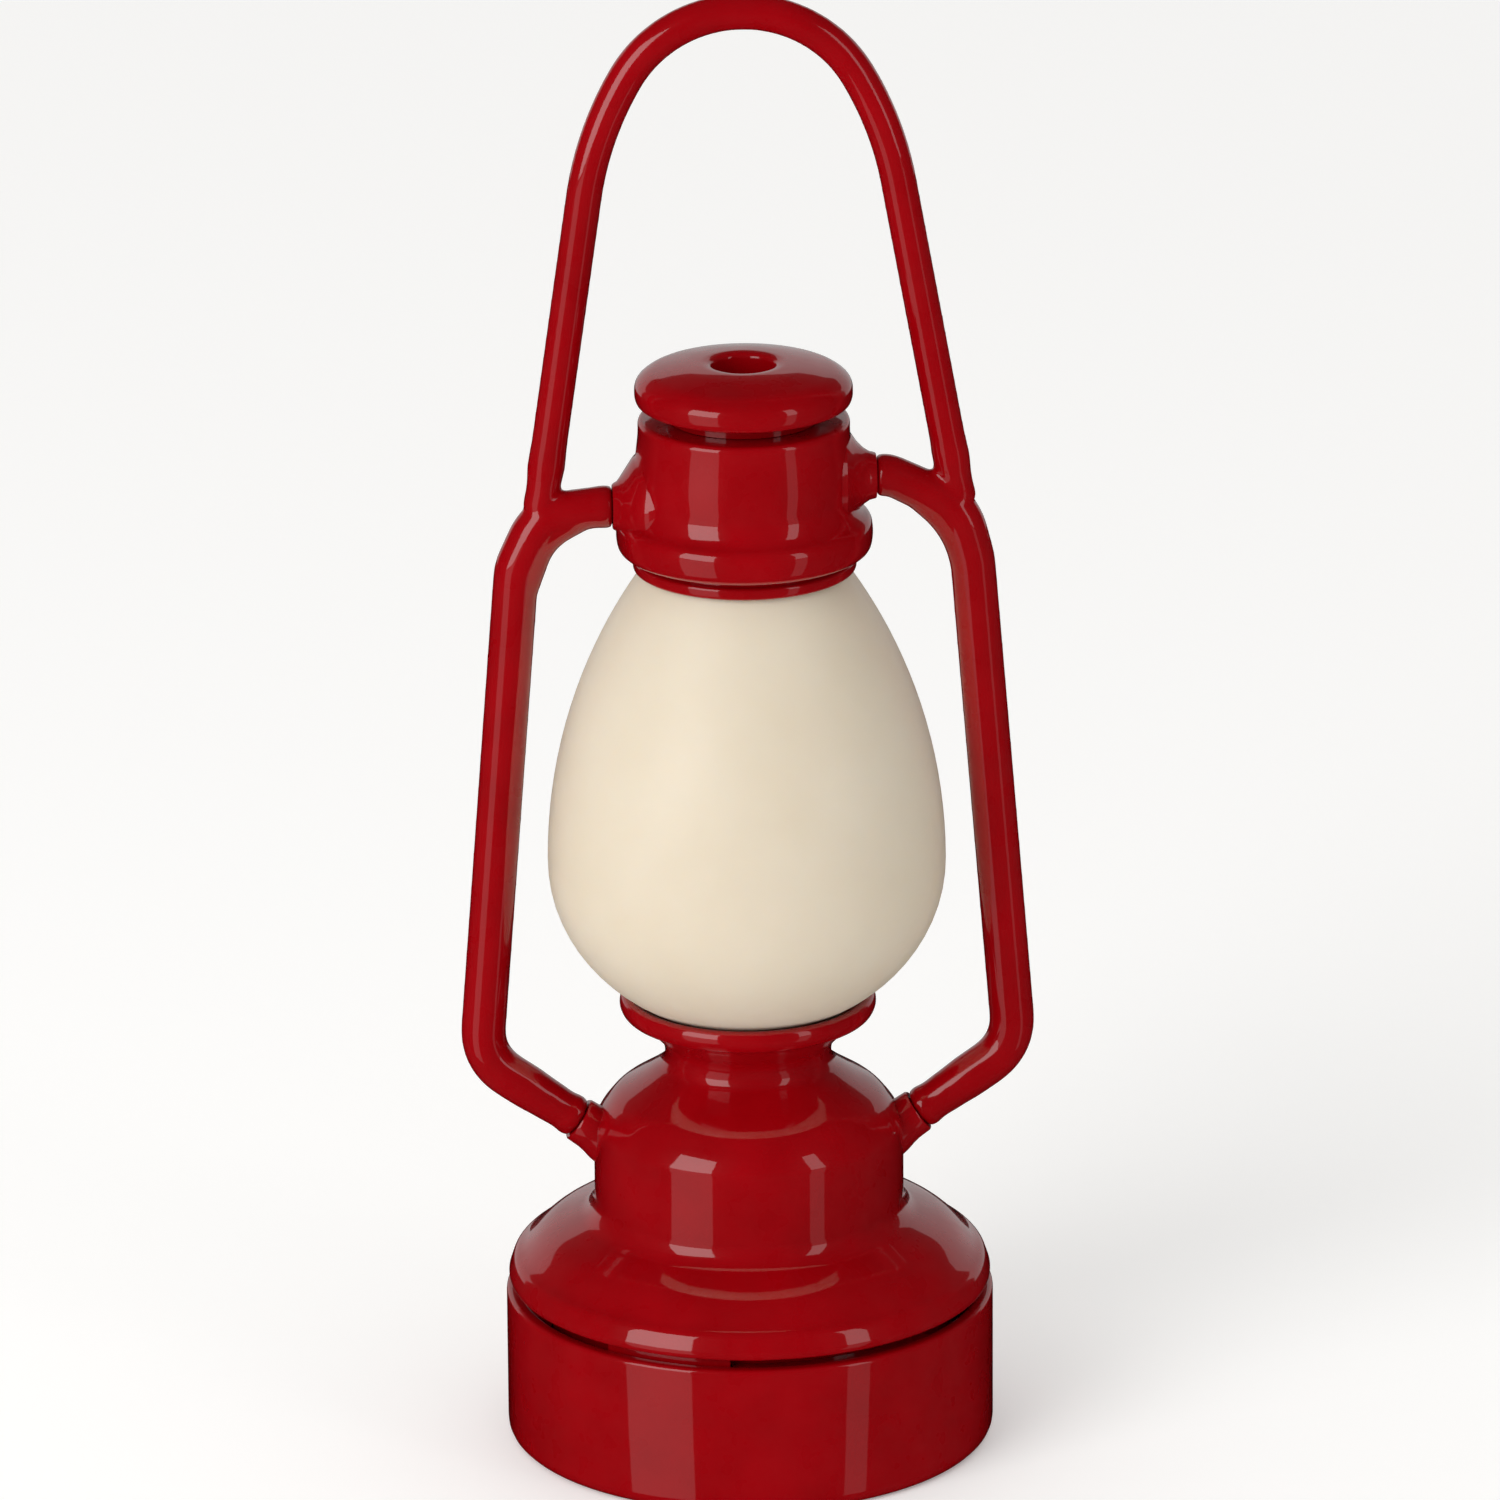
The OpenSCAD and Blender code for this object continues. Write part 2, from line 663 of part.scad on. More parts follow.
module cup_outline() {
    difference() {
        union() {
            translate([0, cup_edge_r]) square([cup_r, cup_h - cup_edge_r - 0.15]);
            square([cup_r - cup_edge_r, cup_h]);
            translate([cup_r - cup_edge_r, cup_edge_r]) circle(r = cup_edge_r);
            square([cup_r - 0.15, cup_h]);
        }
        translate([-1, -1]) square([cover_bore_r + 1, cup_h + 2]);
        translate([0, floor_h]) square([cup_bore_r, cup_h]);
        translate([cup_r - cup_edge_r, -1]) square([cup_edge_r + 1, cup_edge_r + 1]);
    }
    intersection() {
        translate([cup_r - cup_edge_r, cup_edge_r]) circle(r = cup_edge_r);
        translate([cup_r - cup_edge_r, 0]) square([cup_edge_r, cup_edge_r]);
    }
}

module base_cup() {
    color(lacquer_red) difference() {
        union() {
            rotate_extrude() cup_outline();
            for (i = [0 : lug_count - 1])
                band_arc(skirt_r + run_gap, cup_bore_r + 0.1, block_z, block_top_z,
                    block_start + i * 360 / lug_count, block_width);
            for (a = pillar_angles) rotate([0, 0, a])
                translate([pillar_at, 0, carrier_z + carrier_t]) {
                    cylinder(r = pillar_r, h = pillar_h);
                    translate([0, -pillar_r, 0])
                        cube([cup_bore_r - pillar_at + 0.1, 2 * pillar_r, pillar_h]);
                }
        }
        for (a = pillar_angles) rotate([0, 0, a]) translate([pillar_at, 0, carrier_z])
            cylinder(r = screw_r + fit_gap, h = carrier_t + 1.4);
        tongues(run_gap);
    }
}

module tongues(grow) {
    for (a = tongue_angles) rotate([0, 0, a])
        translate([cover_r - 1, -tongue_w / 2 - grow, cover_top_z - tongue_t - grow])
            cube([tongue_len + 1 + grow, tongue_w + 2 * grow, tongue_t + 2 * grow]);
}

module battery_cover() {
    color(lacquer_red) difference() {
        union() {
            translate([0, 0, cover_z]) cylinder(r = cover_r, h = cover_t);
            tongues(0);
        }
        translate([0, -cover_screw_at, -1])
            cylinder(r = cover_head_r + run_gap, h = 1 + cover_z + cover_sink);
        translate([0, -cover_screw_at, 0]) cylinder(r = cover_screw_r + fit_gap, h = 4);
    }
}

module cover_screw() {
    length = carrier_z + carrier_t + cover_boss_h - cover_z - 2 * cover_sink;
    color(nickel_steel) translate([0, -cover_screw_at, cover_z + cover_sink])
        screw(cover_screw_r, length, cover_head_r, 0.45);
}

module pressure_pad() {
    color(foam_black) translate([0, 0, cover_top_z]) cylinder(r = pad_r, h = pad_t - fit_gap);
}

module strip_slot(grow) {
    translate([-strip_w / 2 - grow, tube_r - 0.1, strip_z - 1])
        cube([strip_w + 2 * grow, strip_t + 0.1 + fit_gap + grow, 4]);
}

module battery_carrier() {
    color(white_plastic) difference() {
        union() {
            translate([0, 0, carrier_z]) cylinder(r = carrier_r, h = carrier_t);
            translate([0, 0, carrier_z]) cylinder(r = tube_r, h = carrier_top_z - carrier_z);
            translate([0, -cover_screw_at, carrier_z]) cylinder(r = 1.3, h = carrier_t + cover_boss_h);
            for (a = carrier_foot_angles) rotate([0, 0, a]) translate([carrier_foot_at, 0, cover_top_z])
                cylinder(r = 0.8, h = carrier_z - cover_top_z + 0.1);
        }
        translate([0, 0, carrier_z - 1])
            cylinder(r = tube_bore_r, h = cells_top_z + run_gap - carrier_z + 1);
        cylinder(r = cell_r - 0.7, h = carrier_top_z + 1);
        translate([0, -cover_screw_at, 0])
            cylinder(r = cover_screw_r + fit_gap, h = carrier_z + carrier_t + cover_boss_h - 0.4);
        for (a = pillar_angles) rotate([0, 0, a]) translate([pillar_at, 0, 0])
            cylinder(r = screw_r + fit_gap, h = carrier_z + carrier_t + 1);
        strip_slot(run_gap);
    }
}

module carrier_screws() {
    color(nickel_steel) for (a = pillar_angles) rotate([0, 0, a]) translate([pillar_at, 0, carrier_z])
        screw(screw_r, carrier_t + screw_bite, screw_head_r, screw_head_h);
}

module cell(index) {
    cap_step = 0.4;
    color(nickel_steel) translate([0, 0, cells_z + (index - 1) * cell_h]) {
        cylinder(r = cell_r - 0.9, h = cap_step);
        translate([0, 0, cap_step]) cylinder(r = cell_r, h = cell_h - cap_step);
    }
}
module cell_1() { cell(1); }
module cell_2() { cell(2); }
module cell_3() { cell(3); }

// One bent strip: foot under the cells, upright on the tube, finger on the board's track
module wiper_strip() {
    upright_y = tube_r + fit_gap;
    arm_z = carrier_top_z + 0.2;
    finger_y = track_r - 0.3;
    finger_z = board_z - track_t - finger_gap;
    color(brass) {
        translate([-strip_w / 2, -1.5, strip_z]) cube([strip_w, upright_y + strip_t + 1.5, strip_t]);
        translate([-strip_w / 2, upright_y, strip_z]) cube([strip_w, strip_t, arm_z + strip_t - strip_z]);
        translate([-strip_w / 2, finger_y, arm_z]) cube([strip_w, upright_y + strip_t - finger_y, strip_t]);
        translate([-strip_w / 4, finger_y, arm_z]) cube([strip_w / 2, strip_t, finger_z - arm_z]);
    }
}

cap();
hood();
globe();
carrying_frame();
fount();
retaining_ring();
led();
led_leads();
led_holder();
circuit_board();
contact_track();
resistor();
board_screws();
anode_spring();
solder_joints();
base_cup();
battery_carrier();
carrier_screws();
cell_1();
cell_2();
cell_3();
pressure_pad();
wiper_strip();
battery_cover();
cover_screw();
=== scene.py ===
import math
import bpy
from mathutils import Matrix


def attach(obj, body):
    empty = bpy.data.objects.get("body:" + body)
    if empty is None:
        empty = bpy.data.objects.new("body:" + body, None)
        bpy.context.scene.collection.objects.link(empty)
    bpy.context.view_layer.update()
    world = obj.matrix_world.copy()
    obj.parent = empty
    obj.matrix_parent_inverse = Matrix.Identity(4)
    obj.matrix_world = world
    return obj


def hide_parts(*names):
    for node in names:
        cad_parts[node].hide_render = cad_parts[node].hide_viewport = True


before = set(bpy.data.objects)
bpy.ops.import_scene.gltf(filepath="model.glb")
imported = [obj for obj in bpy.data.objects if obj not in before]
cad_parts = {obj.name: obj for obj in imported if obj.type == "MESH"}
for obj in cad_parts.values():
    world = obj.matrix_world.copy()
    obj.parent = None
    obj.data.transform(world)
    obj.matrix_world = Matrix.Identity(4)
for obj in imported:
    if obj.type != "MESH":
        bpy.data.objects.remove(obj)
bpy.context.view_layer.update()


# The view. A long lens looks down on the lantern from a little to its left, and the
# lantern nearly fills the picture. The camera is tipped a hair, so the lantern leans left.
def point_at(thing, target, roll=0.0):
    away = [thing.location[i] - target[i] for i in range(3)]
    flat = math.hypot(away[0], away[1])
    thing.rotation_euler = (math.atan2(flat, away[2]), 0, math.atan2(away[0], -away[1]))
    thing.rotation_euler.rotate_axis("Z", roll)


view_distance = 0.600
view_height = 0.245
view_turn = math.radians(-3)
half_view = math.radians(3.59)
bpy.context.scene.view_settings.view_transform = "Standard"
bpy.ops.object.camera_add(
    location=(view_distance * math.sin(view_turn), -view_distance * math.cos(view_turn), view_height))
camera = bpy.context.object
camera.data.sensor_width = 36
camera.data.lens = 18 / math.tan(half_view)
camera.data.clip_start = 0.01
point_at(camera, (0.00021, 0, 0.03845), roll=math.radians(-0.4))
bpy.context.scene.camera = camera


def to_linear(hex_code):
    channels = [int(hex_code[i:i + 2], 16) / 255 for i in (1, 3, 5)]
    return [c / 12.92 if c <= 0.04045 else ((c + 0.055) / 1.055) ** 2.4 for c in channels] + [1.0]


def grey(value):
    return (value, value, value, 1)


def add_node(tree, kind, links=(), **settings):
    node = tree.nodes.new(kind)
    for name, value in settings.items():
        setattr(node, name, value)
    for source, socket in links:
        tree.links.new(source, node.inputs[socket])
    return node


def new_material(name):
    material = bpy.data.materials.new(name)
    material.use_nodes = True
    tree = material.node_tree
    shader = next(n for n in tree.nodes if n.type == "BSDF_PRINCIPLED")
    return material, tree, shader


def set_sockets(node, **values):
    for name, value in values.items():
        node.inputs[name.replace("_", " ")].default_value = value


# The floor is a plain matte board, which glows a little so that it stays white. It lights the
# lantern but isn't mirrored in the lacquer, and neither is the room: only the softboxes are.
board, _, board_shader = new_material("matte_white_board")
set_sockets(board_shader, Base_Color=to_linear("#F4F3F1"), Roughness=0.7,
            Emission_Color=to_linear("#FFFFFF"), Emission_Strength=0.2)
bpy.ops.mesh.primitive_plane_add(size=6, location=(0, 0, 0))
floor = bpy.context.object
floor.name = "floor"
floor.data.materials.append(board)
floor.visible_glossy = False

# Softboxes stand round the lantern at an angle from the view, to the right where positive.
# Each has its distance, its middle's height, its width and height, and its brightness. The
# dim cards under two of them give upright walls the glow of a polished table top.
softboxes = [
    ("left_softbox", -43, 0.45, 0.20, (0.26, 0.34), 3.0),
    ("left_card", -43, 0.45, -0.13, (0.26, 0.30), 0.55),
    ("right_softbox", 51, 0.45, 0.20, (0.09, 0.34), 1.6),
    ("right_card", 51, 0.45, -0.13, (0.09, 0.30), 0.35),
    ("back_softbox", 180, 0.75, 0.16, (1.60, 0.50), 0.5),
    ("key_light", -38, 0.60, 0.38, (0.40, 0.40), 2.6),
]
for light_name, turn, distance, height, (wide, tall), brightness in softboxes:
    around = math.radians(turn) + view_turn
    bpy.ops.object.light_add(
        type="AREA", location=(distance * math.sin(around), -distance * math.cos(around), height))
    softbox = bpy.context.object
    softbox.name = light_name
    softbox.data.shape = "RECTANGLE"
    softbox.data.size = wide
    softbox.data.size_y = tall
    softbox.data.energy = brightness * math.pi * wide * tall
    softbox.visible_glossy = light_name != "key_light"
    point_at(softbox, (0, 0, 0.04 if light_name == "key_light" else height))
room = bpy.data.worlds.new("room")
bpy.context.scene.world = room
room.use_nodes = True
room.node_tree.nodes["Background"].inputs["Color"].default_value = to_linear("#FFFFFF")
room.node_tree.nodes["Background"].inputs["Strength"].default_value = 0.66
room.cycles_visibility.glossy = False


# The lacquer on every red casting: a thick glossy stoving enamel over zinc. It levels to a
# mirror with a faint orange-peel ripple, and its red drifts by a shade from place to place.
def coordinates(tree, scale=1000.0):
    place = add_node(tree, "ShaderNodeTexCoord")
    spread = add_node(tree, "ShaderNodeMapping", [(place.outputs["Object"], "Vector")])
    spread.inputs["Scale"].default_value = (scale, scale, scale)
    return spread.outputs["Vector"]


def ramp(tree, source, stops):
    node = add_node(tree, "ShaderNodeValToRGB", [(source, "Fac")])
    node.color_ramp.elements[0].position, node.color_ramp.elements[0].color = stops[0]
    node.color_ramp.elements[1].position, node.color_ramp.elements[1].color = stops[-1]
    for position, colour in stops[1:-1]:
        node.color_ramp.elements.new(position).color = colour
    return node.outputs["Color"]


def noise(tree, vector, size_mm, detail=2.0):
    node = add_node(tree, "ShaderNodeTexNoise", [(vector, "Vector")])
    set_sockets(node, Scale=1 / size_mm, Detail=detail)
    return node.outputs["Fac"]


def bumped(tree, shader, height, depth_mm, normal="Normal"):
    bump = add_node(tree, "ShaderNodeBump", [(height, "Height")])
    set_sockets(bump, Strength=1.0, Distance=depth_mm / 1000)
    tree.links.new(bump.outputs["Normal"], shader.inputs[normal])


lacquer, tree, shader = new_material("red_stoving_lacquer")
vector = coordinates(tree)
tone = ramp(tree, noise(tree, vector, 4.0, 3.0),
            [(0.30, to_linear("#860006")), (0.70, to_linear("#910008"))])
tree.links.new(tone, shader.inputs["Base Color"])
gloss = ramp(tree, noise(tree, vector, 1.4), [(0.35, grey(0.26)), (0.7, grey(0.36))])
tree.links.new(gloss, shader.inputs["Roughness"])
set_sockets(shader, Specular_IOR_Level=0.06, Coat_Weight=1.0, Coat_Roughness=0.04)
bumped(tree, shader, noise(tree, vector, 1.1, 1.0), 0.006)
bumped(tree, shader, noise(tree, vector, 2.6, 1.0), 0.004, "Coat Normal")


# Turned shapes. An outline is a list of corners (radius, height, rounding) in millimetres.
# Each corner is softened to an arc, and the outline is drawn up ring by ring, as on a lathe.
def softened(corners, closed=False, steps=5):
    points = []
    count = len(corners)
    for i, (r, z, rounding) in enumerate(corners):
        at_end = not closed and i in (0, count - 1)
        before, after = corners[i - 1], corners[(i + 1) % count]
        if at_end or rounding <= 0:
            points.append((r, z))
            continue
        into = (before[0] - r, before[1] - z)
        out = (after[0] - r, after[1] - z)
        near = min(rounding, 0.48 * math.hypot(*into), 0.48 * math.hypot(*out))
        p = [r + into[0] * near / math.hypot(*into), z + into[1] * near / math.hypot(*into)]
        q = [r + out[0] * near / math.hypot(*out), z + out[1] * near / math.hypot(*out)]
        for k in range(steps + 1):
            t = k / steps
            points.append(tuple(
                (1 - t) ** 2 * p[j] + 2 * t * (1 - t) * (r, z)[j] + t * t * q[j] for j in (0, 1)))
    return points


def deselect_all():
    if bpy.context.mode != "OBJECT":
        bpy.ops.object.mode_set(mode="OBJECT")
    bpy.ops.object.select_all(action="DESELECT")


def turned(name, outline, closed=False, sides=144):
    deselect_all()
    radius, height = outline[0]
    bpy.ops.mesh.primitive_circle_add(vertices=sides, radius=radius, location=(0, 0, 0))
    piece = bpy.context.object
    piece.name = name
    bpy.ops.object.mode_set(mode="EDIT")
    bpy.ops.mesh.select_all(action="SELECT")
    bpy.ops.transform.translate(value=(0, 0, height))
    path = outline[1:] + ([outline[0]] if closed else [])
    for next_radius, next_height in path:
        bpy.ops.mesh.extrude_region_move(
            TRANSFORM_OT_translate={"value": (0, 0, next_height - height)})
        grow = next_radius / radius
        bpy.ops.transform.resize(value=(grow, grow, 1), center_override=(0, 0, next_height))
        radius, height = next_radius, next_height
    if closed:
        bpy.ops.mesh.select_all(action="SELECT")
        bpy.ops.mesh.remove_doubles(threshold=0.0005)
    else:
        bpy.ops.mesh.select_all(action="DESELECT")
        bpy.ops.mesh.select_non_manifold(extend=False)
        bpy.ops.mesh.fill_holes(sides=0)
    bpy.ops.mesh.select_all(action="SELECT")
    bpy.ops.mesh.normals_make_consistent(inside=False)
    bpy.ops.object.mode_set(mode="OBJECT")
    return piece


# Joins the loose shapes of one piece, brings it from millimetres to metres, and gives it
# its finish, the body it rides on and the nodes it stands for.
def settle(shapes, name, body, material, nodes, sharp=40):
    deselect_all()
    for shape in shapes:
        shape.select_set(True)
    bpy.context.view_layer.objects.active = shapes[0]
    if len(shapes) > 1:
        bpy.ops.object.join()
    piece = bpy.context.object
    piece.name = name
    piece.data.name = name
    bpy.ops.object.mode_set(mode="EDIT")
    bpy.ops.mesh.select_all(action="SELECT")
    bpy.ops.transform.resize(value=(0.001, 0.001, 0.001), center_override=(0, 0, 0))
    bpy.ops.object.mode_set(mode="OBJECT")
    bpy.ops.object.shade_smooth_by_angle(angle=math.radians(sharp))
    piece.data.materials.clear()
    piece.data.materials.append(material)
    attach(piece, body)
    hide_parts(*nodes)
    return piece


# The cap. A cast disc with a blind hole in its middle, a low spigot under it and a step
# that leaves the dark groove above the hood. It is pressed into the hood's top.
cap_r, cap_low, cap_top, groove = 5.75, 57.8, 60.0, 0.77
hole_r, hole_depth, neck_step = 1.65, 1.8, 1.7
cap_corners = [
    (2.6, 56.1, 0), (2.6, cap_low - groove, 0), (cap_r - neck_step, cap_low - groove, 0),
    (cap_r - neck_step, cap_low, 0.1), (cap_r - 0.15, cap_low, 0.2), (cap_r, cap_low + 0.35, 0.3),
    (cap_r, cap_low + 1.15, 0.45), (cap_r - 0.7, cap_low + 1.72, 0.9), (3.4, cap_top - 0.12, 1.0),
    (hole_r + 0.5, cap_top, 0.3), (hole_r + 0.02, cap_top - 0.1, 0.25), (hole_r, cap_top - hole_depth, 0.3),
    (0.05, cap_top - hole_depth, 0)]
settle([turned("cap_top", softened(cap_corners))], "cap_casting", "lantern", lacquer, ["cap"])


# Two shapes are welded into one casting, or one is cut out of the other.
def combine(piece, tool, operation):
    deselect_all()
    bpy.context.view_layer.objects.active = piece
    modifier = piece.modifiers.new(operation, "BOOLEAN")
    modifier.operation = operation
    modifier.solver = "EXACT"
    modifier.object = tool
    bpy.ops.object.modifier_apply(modifier=modifier.name)
    bpy.data.objects.remove(tool)


# Tips a shape made along +Z over towards +X by an angle, and moves it to its place.
def laid(shape, tip, place=(0, 0, 0)):
    deselect_all()
    shape.select_set(True)
    bpy.context.view_layer.objects.active = shape
    shape.rotation_euler = (0, math.radians(tip), 0)
    shape.location = place
    bpy.ops.object.transform_apply(location=True, rotation=True, scale=True)
    return shape


# The hood. A hollow casting: a lip round the globe's top, a bold ring, a short cone and a
# barrel that swells a little at its foot. Two cast sockets stand out from the barrel, the
# right one higher than the left, and take the pegs of the carrying frame.
hood_z, hood_top, barrel_r, lip_r = 48.7, 57.0, 5.8, 5.91
ring_r, ring_z = 6.81, 50.6
socket_face, peg_hole_r, spigot_hole_r = 6.965, 0.63, 2.63
hood_sockets = {-1: 52.2, 1: 53.6}
swell_z, waist_z = 53.9, 56.2
bore_r, globe_rim_r, globe_top = 4.2, 4.43, 50.1
hood_corners = [
    (lip_r - 0.48, hood_z, 0.08), (lip_r, hood_z, 0.25), (lip_r, hood_z + 0.62, 0.25),
    (lip_r - 0.3, hood_z + 0.72, 0.1), (lip_r - 0.28, hood_z + 0.95, 0.12),
    (ring_r - 0.15, hood_z + 1.05, 0.7), (ring_r, ring_z, 0.6), (ring_r - 0.1, ring_z + 0.85, 0.6),
    (lip_r + 0.22, ring_z + 1.2, 0.5), (barrel_r - 0.02, ring_z + 2.05, 0.6),
    (barrel_r + 0.04, swell_z, 1.0), (barrel_r - 0.22, waist_z, 0.8), (barrel_r - 0.2, hood_top, 0.35),
    (spigot_hole_r, hood_top, 0.1), (spigot_hole_r, hood_top - 1, 0.1), (bore_r, hood_top - 1, 0.3),
    (bore_r, globe_top, 0.1), (globe_rim_r, globe_top, 0.1)]
hood_piece = turned("hood_barrel", softened(hood_corners, closed=True), closed=True)
socket_face_ends = [(1.22, socket_face - 0.05), (1.17, socket_face)]
socket_outlines = {
    -1: [(3.3, 4.7), (3.1, 5.35), (2.6, 5.85), (2.15, 6.15), (1.7, 6.45), (1.35, 6.7)] + socket_face_ends,
    1: [(3.1, 4.7), (2.9, 5.3), (2.3, 5.65), (1.85, 5.95), (1.5, 6.3), (1.3, 6.6)] + socket_face_ends}
peg_outline = [(peg_hole_r, socket_face - 1.2), (peg_hole_r, 8.2)]
for side, height in hood_sockets.items():
    socket = laid(turned("socket", socket_outlines[side], sides=64), side * 90, (0, 0, height))
    combine(hood_piece, socket, "UNION")
    hole = laid(turned("hole", peg_outline, sides=48), side * 90, (0, 0, height))
    combine(hood_piece, hole, "DIFFERENCE")
settle([hood_piece], "hood_casting", "lantern", lacquer, ["hood"])


# The globe. A blow-moulded shell of cream translucent plastic with a satin surface, held
# between the collar and the hood. Light scatters a short way inside it, the red furthest.
cream, tree, shader = new_material("satin_cream_plastic")
vector = coordinates(tree)
tone = ramp(tree, noise(tree, vector, 7.0, 3.0),
            [(0.3, to_linear("#D3C5AF")), (0.7, to_linear("#D7CAB6"))])
tree.links.new(tone, shader.inputs["Base Color"])
haze = ramp(tree, noise(tree, vector, 0.8), [(0.3, grey(0.40)), (0.7, grey(0.50))])
tree.links.new(haze, shader.inputs["Roughness"])
set_sockets(shader, Subsurface_Weight=0.35, Subsurface_Radius=(1.0, 0.7, 0.45),
            Subsurface_Scale=0.002, IOR=1.49)
bumped(tree, shader, noise(tree, vector, 0.5), 0.003)
globe_r, belly_z, foot_z, mouth_z, globe_wall = 10.6, 32.4, 24.1, 50.0, 0.8
foot_r, mouth_r = 4.6, 4.4
bowl = (belly_z - foot_z) / math.sqrt(1 - (foot_r / globe_r) ** 2)
side_r = ((mouth_z - belly_z) ** 2 + (globe_r - mouth_r) ** 2) / (2 * (globe_r - mouth_r))


def globe_radius(z):
    if z < belly_z:
        return globe_r * math.sqrt(1 - ((belly_z - z) / bowl) ** 2)
    return globe_r - side_r + math.sqrt(side_r ** 2 - (z - belly_z) ** 2)


globe_steps = 44
heights = [foot_z + (mouth_z - foot_z) * (0.5 - 0.5 * math.cos(math.pi * i / globe_steps))
           for i in range(globe_steps + 1)]
skin = [(globe_radius(z), z) for z in heights]
lining = [(r - globe_wall, z) for r, z in reversed(skin)]
shell = turned("globe_skin", skin + lining, closed=True)
settle([shell], "globe_shell", "lantern", cream, ["globe"])


# The carrying frame. Round wire-like bars, cast in one piece: the arch handle springs from
# the corners of two side bars. The joints are fused, with soft fillets and narrow necks.
def ring_angle(path, i):
    before, after = path[max(i - 1, 0)], path[min(i + 1, len(path) - 1)]
    return math.atan2(after[0] - before[0], after[1] - before[1])


def drawn_bar(name, path, radii, sides=28):
    deselect_all()
    angle = ring_angle(path, 0)
    bpy.ops.mesh.primitive_circle_add(
        vertices=sides, radius=radii[0], fill_type="NGON", location=(0, 0, 0))
    bar = bpy.context.object
    bar.name = name
    laid(bar, math.degrees(angle), (path[0][0], 0, path[0][1]))
    bpy.ops.object.mode_set(mode="EDIT")
    bpy.ops.mesh.select_all(action="SELECT")
    for i in range(1, len(path)):
        here, last = path[i], path[i - 1]
        turn = ring_angle(path, i) - angle
        turn = (turn + math.pi) % (2 * math.pi) - math.pi
        angle += turn
        middle = (here[0], 0, here[1])
        bpy.ops.mesh.extrude_region_move(
            TRANSFORM_OT_translate={"value": (here[0] - last[0], 0, here[1] - last[1])})
        bpy.ops.transform.rotate(value=-turn, orient_axis="Y", center_override=middle)
        grow = radii[i] / radii[i - 1]
        bpy.ops.transform.resize(value=(grow, grow, grow), center_override=middle)
    bpy.ops.mesh.select_all(action="SELECT")
    bpy.ops.mesh.normals_make_consistent(inside=False)
    bpy.ops.object.mode_set(mode="OBJECT")
    return bar


def arc_points(centre, radius, start, end, steps):
    turns = [math.radians(start + (end - start) * i / steps) for i in range(steps + 1)]
    return [(centre[0] + radius * math.cos(a), centre[1] + radius * math.sin(a)) for a in turns]


def spaced(path, gap=0.45):
    points = [path[0]]
    for here in path[1:]:
        last = points[-1]
        length = math.hypot(here[0] - last[0], here[1] - last[1])
        count = max(1, round(length / gap))
        points += [tuple(last[j] + (here[j] - last[j]) * k / count for j in (0, 1))
                   for k in range(1, count + 1)]
    return points


# The bar's radius at each point of its path. Near an end it follows a list of (distance from
# the end, radius), and elsewhere it is the usual one.
def profiled(path, usual, start_profile, end_profile):
    def at(distance, profile):
        for (d0, r0), (d1, r1) in zip(profile, profile[1:]):
            if distance <= d1:
                t = (distance - d0) / (d1 - d0)
                return r0 + (r1 - r0) * (3 * t * t - 2 * t ** 3)
        return usual
    steps = [math.hypot(b[0] - a[0], b[1] - a[1]) for a, b in zip(path, path[1:])]
    gone = [sum(steps[:i]) for i in range(len(path))]
    total = gone[-1]
    return [at(g, start_profile) if g < total / 2 else at(total - g, end_profile) for g in gone]


arch_r, bar_r, web_r, peg_r = 0.95, 1.2, 0.98, 0.6
leans = {-1: 8.3, 1: 10.2}
crown_turn, crown_r, haunch_r, feet_z, leg_sink = math.radians(60), 7.0, 18.0, 53.0, 0.8
crown_centre = (0, 72.05)
haunch_centre = ((crown_r - haunch_r) * math.sin(crown_turn),
                 crown_centre[1] + (crown_r - haunch_r) * math.cos(crown_turn))


def leg_at(lean, z):
    top = arc_points(haunch_centre, haunch_r, lean, lean, 1)[0]
    return (top[0] + (top[1] - z) * math.tan(math.radians(lean)), z)


half_arches = {
    side: [leg_at(lean, feet_z - leg_sink)] + arc_points(haunch_centre, haunch_r, lean, 30, 14)
    + arc_points(crown_centre, crown_r, 32, 90, 20) for side, lean in leans.items()}
arch_path = spaced(half_arches[1] + [(-x, z) for x, z in reversed(half_arches[-1][:-1])])
leg_neck = [(0, 0.95), (1.1, 0.9), (2.4, 1.0), (3.8, arch_r)]
bars = [drawn_bar("arch_bar", arch_path, profiled(arch_path, arch_r, leg_neck, leg_neck))]
bead = [(0, 1.1), (0.25, 1.15), (1.0, 1.1), (2.2, 1.12), (4.0, bar_r)]
foot_bead = [(0, 1.08), (0.3, 1.18), (0.95, 1.07), (1.8, 1.12), (3.4, bar_r)]
fount_socket = (9.15, 17.8)
fount_tip = 55
top_corner_z, arm_corner, elbow_corner = 51.8, (12.06, 48.9), (14.29, 21.4)
web_foot = (12.2, 46.9)
down = (math.sin(math.radians(fount_tip)), math.cos(math.radians(fount_tip)))
